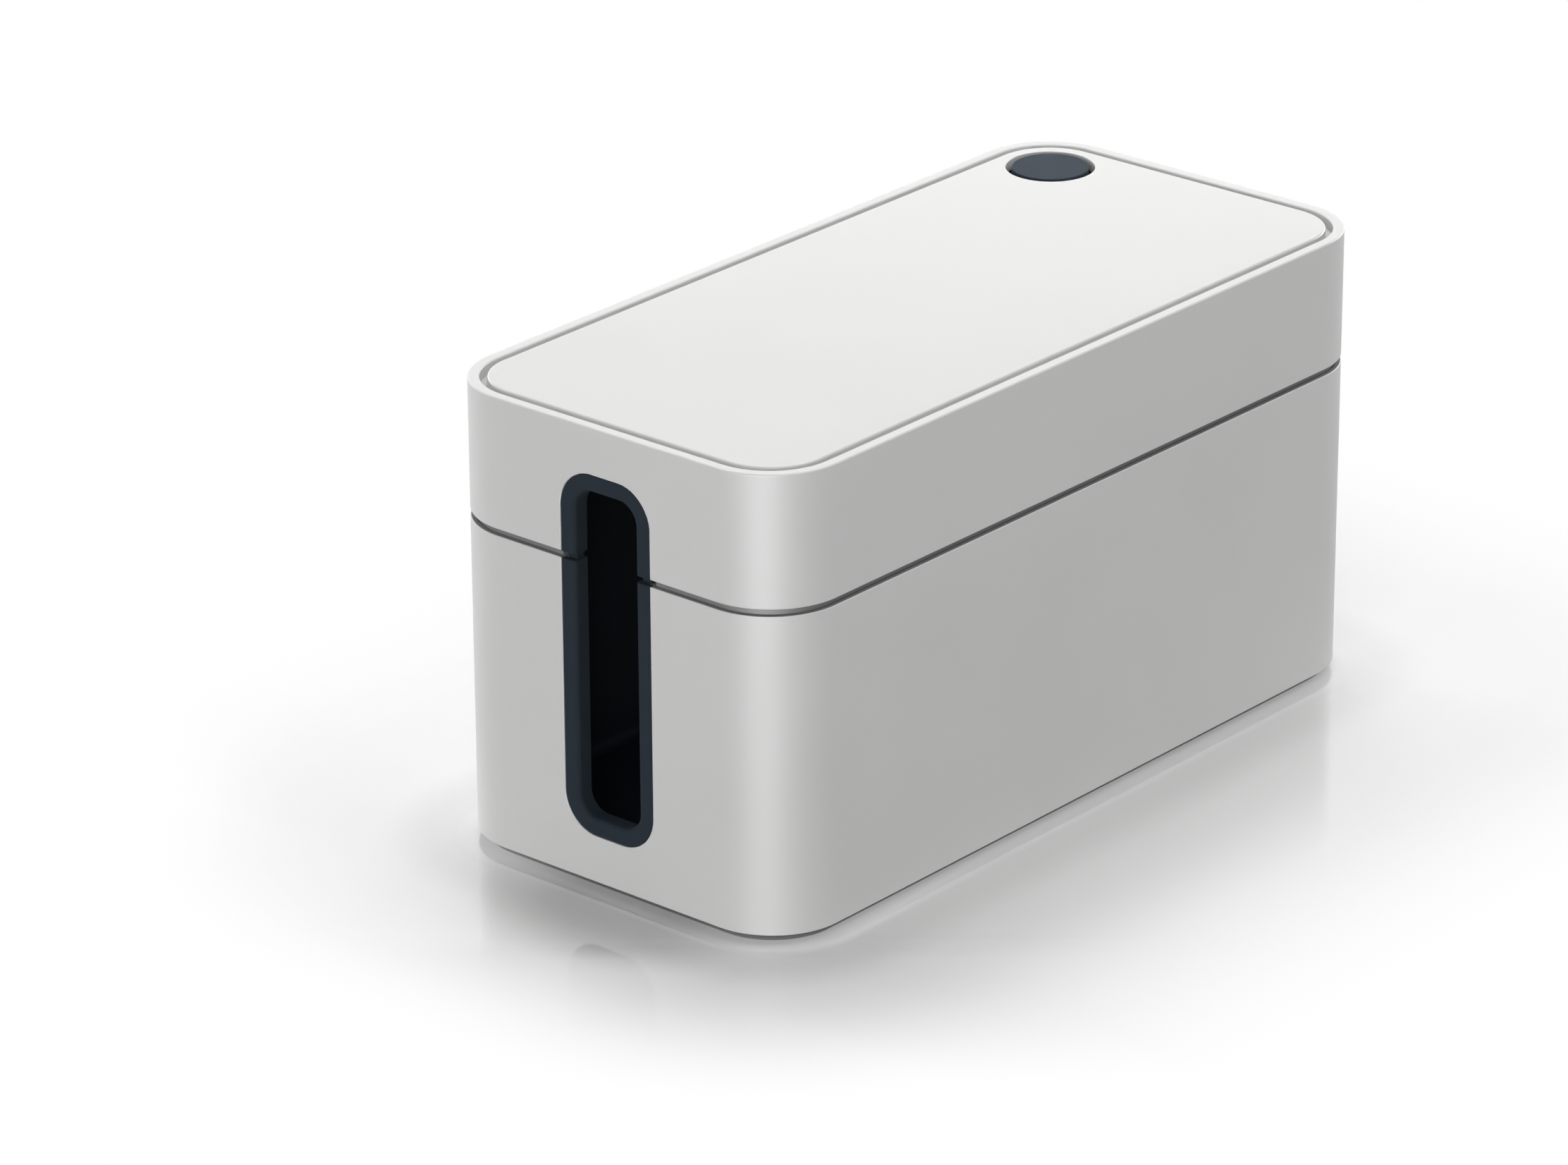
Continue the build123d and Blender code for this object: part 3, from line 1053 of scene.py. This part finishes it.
@dataclass
class Studio:
    """A plain pale floor, soft lamps and the camera.

    Attributes:
        panels: the lamps.
        floor_size: the floor's radius.
        floor_sides: how many straight sides the floor's edge has.
        contact_shade: the floor's darker colour at the foot of the box, a painted shadow, on the left and
            at the right end.
        contact_turn: where along the box the first of those colours starts to turn to the other.
        floor_colour: its colour farther out.
        colour_reach: how far from the box it starts and ends to turn to that.
        white_start: how far from the box the floor starts to fade to the background's white.
        white_reach: how far from the box that fade ends, off the left end and elsewhere.
        white_turn: where along the box the first of those reaches turns to the other.
        bounce_colour: the floor's colour as the box sees it, at its foot and farther out; the paler foot is
            painted light that lifts the casing's lower walls.
        bounce_reach: how far from the box it turns from the one to the other.
        foot_light: the share of white painted right at the foot of the box as light, which thins the shadow
            line under it.
        foot_reach: where that share starts under the casing and ends in front of it.
        foot_hold: how far in front of the casing that share starts to fade, near and farther back.
        foot_turn: how far back along the floor the first of those starts and ends to turn to the other.
        shadow_middle: the middle of the darker patch of floor off the left end.
        shadow_radii: the patch's radii along and across the box.
        shadow_core: the share of those radii within which it is darkest.
        shadow_depth: the share of light that is left there.
        mirror: the share of the floor's shine.
        mirror_reach: how far from the box it starts and ends to die away.
        mirror_end: how far back along the floor it starts and ends to die away.
        mirror_front: how far forward it starts and ends to drop to what is left of it in front.
        mirror_left: the share that is left there.
        mirror_blur: the shine's roughness.
        aim: the point in the middle of the camera's frame.
        azimuth: the camera's direction, in degrees from +X towards +Y.
        elevation: the camera's height above the horizon, in degrees.
        roll: the camera's roll in degrees.
        distance: from the camera to the aim point.
        lens: the camera's focal length in millimetres.
        sensor: the width of its sensor in millimetres.
    """

    # name, azimuth, elevation and power, then the width and height of what isn't a usual panel
    panels: tuple[SoftPanel, ...] = (
        SoftPanel("corner_strip_wide", 209, 4, 64.7, 1.1, 0.26, gloss_only=True),
        SoftPanel("corner_strip_narrow", 209, 4, 39.3, 0.40, 0.26, gloss_only=True),
        SoftPanel("right_strip", 345, 6, 24.0, 1.2, 0.36, gloss_only=True),
        SoftPanel("front_panel", 209, 20, 8.0),
        SoftPanel("right_low_panel", 0, 8, 5.0),
        SoftPanel("right_front_panel", 299, 58, 6.2),
        SoftPanel("right_back_panel", 29, 58, 7.1),
        SoftPanel("back_panel", 59, 58, 5.3),
        SoftPanel("back_low_panel", 89, 8, 11.0),
        SoftPanel("back_left_low_panel", 119, 8, 5.7),
        SoftPanel("overhead_panel", 200, 89, 2.8, 1.2, 1.2),
        SoftPanel("pad_glow", 41, 11, 6.5, 2.2, 0.56, gloss_only=True),
    )
    floor_size: float = 12.0
    floor_sides: int = 96
    contact_shade: tuple[float, float] = (0.80, 0.86)
    contact_turn: tuple[float, float] = (75 * MM, 110 * MM)
    floor_colour: float = 0.95
    colour_reach: tuple[float, float] = (10 * MM, 28 * MM)
    white_start: float = 10 * MM
    white_reach: tuple[float, float] = (90 * MM, 130 * MM)
    white_turn: tuple[float, float] = (-150 * MM, -100 * MM)
    bounce_colour: tuple[float, float] = (0.90, 0.60)
    bounce_reach: float = 50 * MM
    foot_light: float = 0.24
    foot_reach: tuple[float, float] = (-3.0 * MM, 6.2 * MM)
    foot_hold: tuple[float, float] = (3.2 * MM, 0.0)
    foot_turn: tuple[float, float] = (-110 * MM, -75 * MM)
    shadow_middle: tuple[float, float] = (-128 * MM, -6 * MM)
    shadow_radii: tuple[float, float] = (35 * MM, 46 * MM)
    shadow_core: float = 0.3
    shadow_depth: float = 0.60
    mirror: float = 0.33
    mirror_reach: tuple[float, float] = (35 * MM, 75 * MM)
    mirror_end: tuple[float, float] = (40 * MM, 100 * MM)
    mirror_front: tuple[float, float] = (-118 * MM, -130 * MM)
    mirror_left: float = 0.25
    mirror_blur: float = 0.05
    aim: Point = (-27.164 * MM, 23.211 * MM, 49.726 * MM)
    azimuth: float = -139.312
    elevation: float = 23.005
    roll: float = -0.319
    distance: float = 1.84272
    lens: float = 159.73
    sensor: float = 36.0

    def from_box(self, graph: Graph) -> Socket:
        """How far a point of the floor lies from the foot of the casing.

        Args:
            graph: the floor's node tree.

        Returns:
            The distance from the casing's rounded outline.
        """
        place = graph.add("SeparateXYZ", {"Vector": graph.position()})
        beyond = []
        for axis, half in zip("XY", cad_box[1]):
            off_middle = graph.maths("ABSOLUTE", place.outputs[axis], 0.0)
            across = graph.maths("SUBTRACT", off_middle, half - CORNER_RADIUS)
            beyond.append(graph.maths("MAXIMUM", across, 0.0))
        corner = graph.add("CombineXYZ", {"X": beyond[0], "Y": beyond[1]}).outputs[0]
        reach = graph.add("VectorMath", {0: corner}, operation="LENGTH").outputs["Value"]
        return graph.maths("SUBTRACT", reach, CORNER_RADIUS)

    def end_shadow(self, graph: Graph) -> Socket:
        """The light left in the darker patch of floor off the left end.

        Args:
            graph: the floor's node tree.

        Returns:
            The share of light, 1 outside the patch.
        """
        inputs = {0: graph.position(), 1: (*self.shadow_middle, 0.0)}
        place = graph.add("VectorMath", inputs, operation="SUBTRACT").outputs[0]
        inputs = {0: place, 1: (*self.shadow_radii, 1.0)}
        place = graph.add("VectorMath", inputs, operation="DIVIDE").outputs[0]
        reach = graph.add("VectorMath", {0: place}, operation="LENGTH").outputs["Value"]
        return graph.remap(reach, self.shadow_core, 1.0, self.shadow_depth, 1.0, "SMOOTHSTEP")

    def from_camera(self, graph: Graph) -> Socket:
        """How far back along the floor a point lies, as the camera looks.

        Args:
            graph: the floor's node tree.

        Returns:
            The distance from the origin, below 0 on the camera's side.
        """
        inputs = {0: graph.position(), 1: -heading(self.azimuth, 0.0)}
        return graph.add("VectorMath", inputs, operation="DOT_PRODUCT").outputs["Value"]

    def mirror_share(self, graph: Graph, gap: Socket, depth: Socket) -> Socket:
        """The share of the floor's shine, which dies away from the box and in front of it.

        Args:
            graph: the floor's node tree.
            gap: the distance from the casing's outline.
            depth: the distance back along the floor.

        Returns:
            The share, from 0 to 1.
        """
        near = graph.remap(gap, *self.mirror_reach, self.mirror, 0.0, "SMOOTHSTEP")
        share = graph.maths("MULTIPLY", near, graph.remap(depth, *self.mirror_end, 1.0, 0.0))
        return graph.maths("MULTIPLY", share, graph.remap(depth, *self.mirror_front, 1.0, self.mirror_left))

    def white_share(self, graph: Graph, gap: Socket, depth: Socket, along: Socket) -> Socket:
        """The share of plain white: all of it far out, and a little at the foot of the box as painted
        light.

        Args:
            graph: the floor's node tree.
            gap: the distance from the casing's outline.
            depth: the distance back along the floor.
            along: the place along the box.

        Returns:
            The share, from 0 to 1.
        """
        reach = graph.remap(along, *self.white_turn, *self.white_reach)
        fade = graph.remap(gap, self.white_start, reach, 0.0, 1.0, "SMOOTHSTEP")
        under, front = self.foot_reach
        lit = graph.maths("GREATER_THAN", gap, under)
        hold = graph.remap(depth, *self.foot_turn, *self.foot_hold)
        # painted light: a little white at the foot of the box thins the shadow line under it
        foot = graph.maths("MULTIPLY", lit, graph.remap(gap, hold, front, self.foot_light, 0.0))
        return graph.maths("MAXIMUM", fade, foot)

    def floor_finish(self) -> Material:
        """Builds the floor's material, which keeps the box's shadow and fades to white away from it.

        Returns:
            The material.
        """
        graph = Graph(bpy.data.materials.new("studio_floor"))
        gap, depth, shadow = self.from_box(graph), self.from_camera(graph), self.end_shadow(graph)
        along = graph.add("SeparateXYZ", {"Vector": graph.position()}).outputs["X"]
        # painted shadow: the floor's colour is darker at the foot of the box, less so at the right end
        painted_contact_shade = graph.remap(along, *self.contact_turn, *self.contact_shade)
        grey = graph.remap(gap, *self.colour_reach, painted_contact_shade, self.floor_colour, "SMOOTHSTEP")
        plain = graph.add("BsdfDiffuse", {"Color": graph.maths("MULTIPLY", grey, shadow)}).outputs[0]
        gloss = graph.add("BsdfGlossy", {"Color": WHITE, "Roughness": self.mirror_blur}).outputs[0]
        white = graph.add("Emission", {"Strength": shadow}).outputs[0]
        # painted light: the floor is paler to the box near its foot, which lifts the lower walls
        tone = graph.remap(gap, 0.0, self.bounce_reach, *self.bounce_colour)
        bounced = graph.add("BsdfDiffuse", {"Color": tone}).outputs[0]
        mirror = self.mirror_share(graph, gap, depth)
        shine = graph.add("MixShader", {0: mirror, 1: plain, 2: gloss}).outputs[0]
        fade = self.white_share(graph, gap, depth, along)
        seen = graph.add("MixShader", {0: fade, 1: shine, 2: white}).outputs[0]
        camera_ray = graph.add("LightPath").outputs["Is Camera Ray"]
        both = graph.add("MixShader", {0: camera_ray, 1: bounced, 2: seen}).outputs[0]
        graph.add("OutputMaterial", {"Surface": both})
        return graph.owner

    def floor(self) -> Piece:
        """Makes the floor.

        Returns:
            The floor.
        """
        mesh = bmesh.new()
        bmesh.ops.create_circle(mesh, cap_ends=True, radius=self.floor_size, segments=self.floor_sides)
        floor = make_piece("floor", mesh, self.floor_finish())
        return floor

    def surroundings(self) -> None:
        """Makes the space beyond the floor white to the camera and in reflections, without light."""
        world = bpy.data.worlds.new("studio")
        graph = Graph(world)
        rays = graph.add("LightPath").outputs
        shown = rays["Is Camera Ray"]
        for kind in ("Is Glossy Ray", "Is Transmission Ray"):
            shown = graph.maths("MAXIMUM", shown, rays[kind])
        background = graph.add("Background", {"Color": WHITE, "Strength": shown})
        graph.add("OutputWorld", {"Surface": background.outputs[0]})
        bpy.context.scene.world = world

    def camera(self) -> None:
        """Makes the camera and makes it the scene's camera."""
        back = heading(self.azimuth, self.elevation)
        right = Vector((0, 0, 1)).cross(back).normalized()
        level = Matrix((right, back.cross(right), back)).transposed()
        axes = level @ Matrix.Rotation(math.radians(self.roll), 3, "Z")
        data = bpy.data.cameras.new("studio_camera")
        data.lens, data.sensor_width = self.lens, self.sensor
        camera = put("studio_camera", data)
        camera.matrix_world = Matrix.Translation(Vector(self.aim) + back * self.distance) @ axes.to_4x4()
        bpy.context.scene.camera = camera

    def build(self) -> None:
        """Sets up the whole studio."""
        spared = bpy.data.collections.new("spared_by_gloss_lamps")
        spared.objects.link(self.floor())
        spared.collection_objects[0].light_linking.link_state = "EXCLUDE"
        self.surroundings()
        self.camera()
        box_middle = Vector((0.0, 0.0, cad_box[1][2] / 2))
        for panel in self.panels:
            panel.place(box_middle, spared)
        bpy.context.scene.view_settings.view_transform = "Standard"
        log.info("studio: %d lamps", len(self.panels))


def main() -> None:
    """Builds every sub-assembly in order and reports its pieces."""
    logging.basicConfig(level=logging.INFO, format="%(name)s: %(message)s")
    pieces = Casing().build(CASING.material(), INNER_SHADE.material(), RECESS_SHADE.material())
    pieces += ChargingPad().build(PAD.material(), LIT_COLLAR.material(), GLUE.material())
    pieces += SlotSurrounds().build(SLOT_RUBBER.material())
    pieces += CableOutlet().build(CAP_RUBBER.material(), BRIDGE.material(), SCREW_ZINC.material())
    pieces += RubberFeet().build(FOOT_RUBBER.material())
    for piece in pieces:
        finishes = ", ".join(material.name for material in piece.data.materials)
        log.info("%s: %d faces, %s", piece.name, len(piece.data.polygons), finishes)
    Studio().build()


if __name__ == "__main__":
    main()
